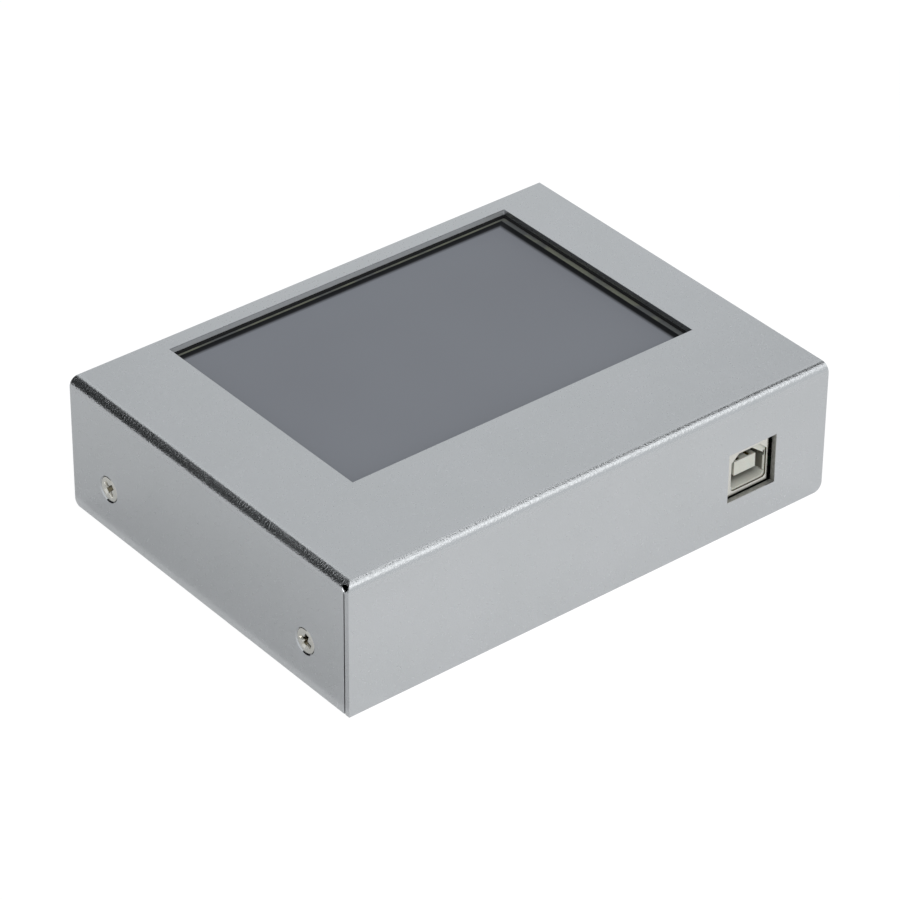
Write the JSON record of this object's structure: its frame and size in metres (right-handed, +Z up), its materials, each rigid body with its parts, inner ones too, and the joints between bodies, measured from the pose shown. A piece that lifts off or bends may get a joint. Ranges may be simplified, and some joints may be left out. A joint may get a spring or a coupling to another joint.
{
  "type": "vector network analyzer",
  "caption": "Small bench vector network analyzer: folded aluminium case, recessed touch display, square USB socket, coaxial test jacks and a slide switch.",
  "frame": {"origin": "middle of the flat underside of the case", "axes": "+X along the side that has the data socket, to the right when that side is faced; +Y from that side towards the side that has the test jacks; +Z up through the display"},
  "size_m": [0.119, 0.0982, 0.0297],
  "materials": {
    "case_aluminium": "fine matt blasted, clear anodised, with rounded bends",
    "bright_nickel": "bright nickel plate",
    "plain_steel": "zinc plate, satin",
    "gold_plate": "thin gold plate, polished",
    "brass": "turned, bare",
    "ptfe": "turned white plastic",
    "pale_plastic": "moulded, glass filled",
    "black_plastic": "moulded, fine grain",
    "black_foam": "closed cell foam with adhesive",
    "touch_film": "satin film on glass",
    "screen_glass": "polariser film on glass",
    "circuit_board": "green solder resist",
    "battery_foil": "laminated foil pouch",
    "lamp_lens": "clear moulded lens",
    "ribbon_film": "polyimide film",
    "red_lead": "sleeved wires"
  },
  "bodies": {
    "instrument": {"base_tray": "case_aluminium", "battery_lead": "red_lead", "battery_pack": "battery_foil", "battery_plug": "pale_plastic", "board_screw_left_front": "bright_nickel", "board_screw_left_rear": "bright_nickel", "board_screw_right_front": "bright_nickel", "board_screw_right_rear": "bright_nickel", "board_standoff_left_front": "plain_steel", "board_standoff_left_rear": "plain_steel", "board_standoff_right_front": "plain_steel", "board_standoff_right_rear": "plain_steel", "cover_block_front": "case_aluminium", "cover_block_rear": "case_aluminium", "display_board": "circuit_board", "display_ribbon": "ribbon_film", "display_spacer_left_front": "brass", "display_spacer_left_rear": "brass", "display_spacer_right_front": "brass", "display_spacer_right_rear": "brass", "jack_1_body": "gold_plate", "jack_1_contact": "gold_plate", "jack_1_insulator": "ptfe", "jack_1_nut": "gold_plate", "jack_1_washer": "gold_plate", "jack_2_body": "gold_plate", "jack_2_contact": "gold_plate", "jack_2_insulator": "ptfe", "jack_2_nut": "gold_plate", "jack_2_washer": "gold_plate", "lcd_frame": "plain_steel", "lcd_panel": "screen_glass", "left_screw_front": "bright_nickel", "left_screw_rear": "bright_nickel", "lip_nut_front": "plain_steel", "lip_nut_rear": "plain_steel", "main_board": "circuit_board", "processor": "black_plastic", "receiver_shield": "plain_steel", "ribbon_socket_lower": "pale_plastic", "ribbon_socket_upper": "pale_plastic", "right_screw_front": "bright_nickel", "right_screw_rear": "bright_nickel", "spacer_screw_left_front": "bright_nickel", "spacer_screw_left_rear": "bright_nickel", "spacer_screw_right_front": "bright_nickel", "spacer_screw_right_rear": "bright_nickel", "status_lamp": "lamp_lens", "switch_body": "black_plastic", "top_cover": "case_aluminium", "touch_panel": "touch_film", "touch_tape": "black_foam", "usb_insulator": "pale_plastic", "usb_shell": "bright_nickel", "window_gasket": "black_foam"},
    "slider": {"switch_slider": "black_plastic"}
  },
  "joints": [
    {"name": "power_switch", "type": "slide", "parent": "instrument", "child": "slider", "axis": [-1, 0, 0], "range_m": [0, 0.003]}
  ]
}
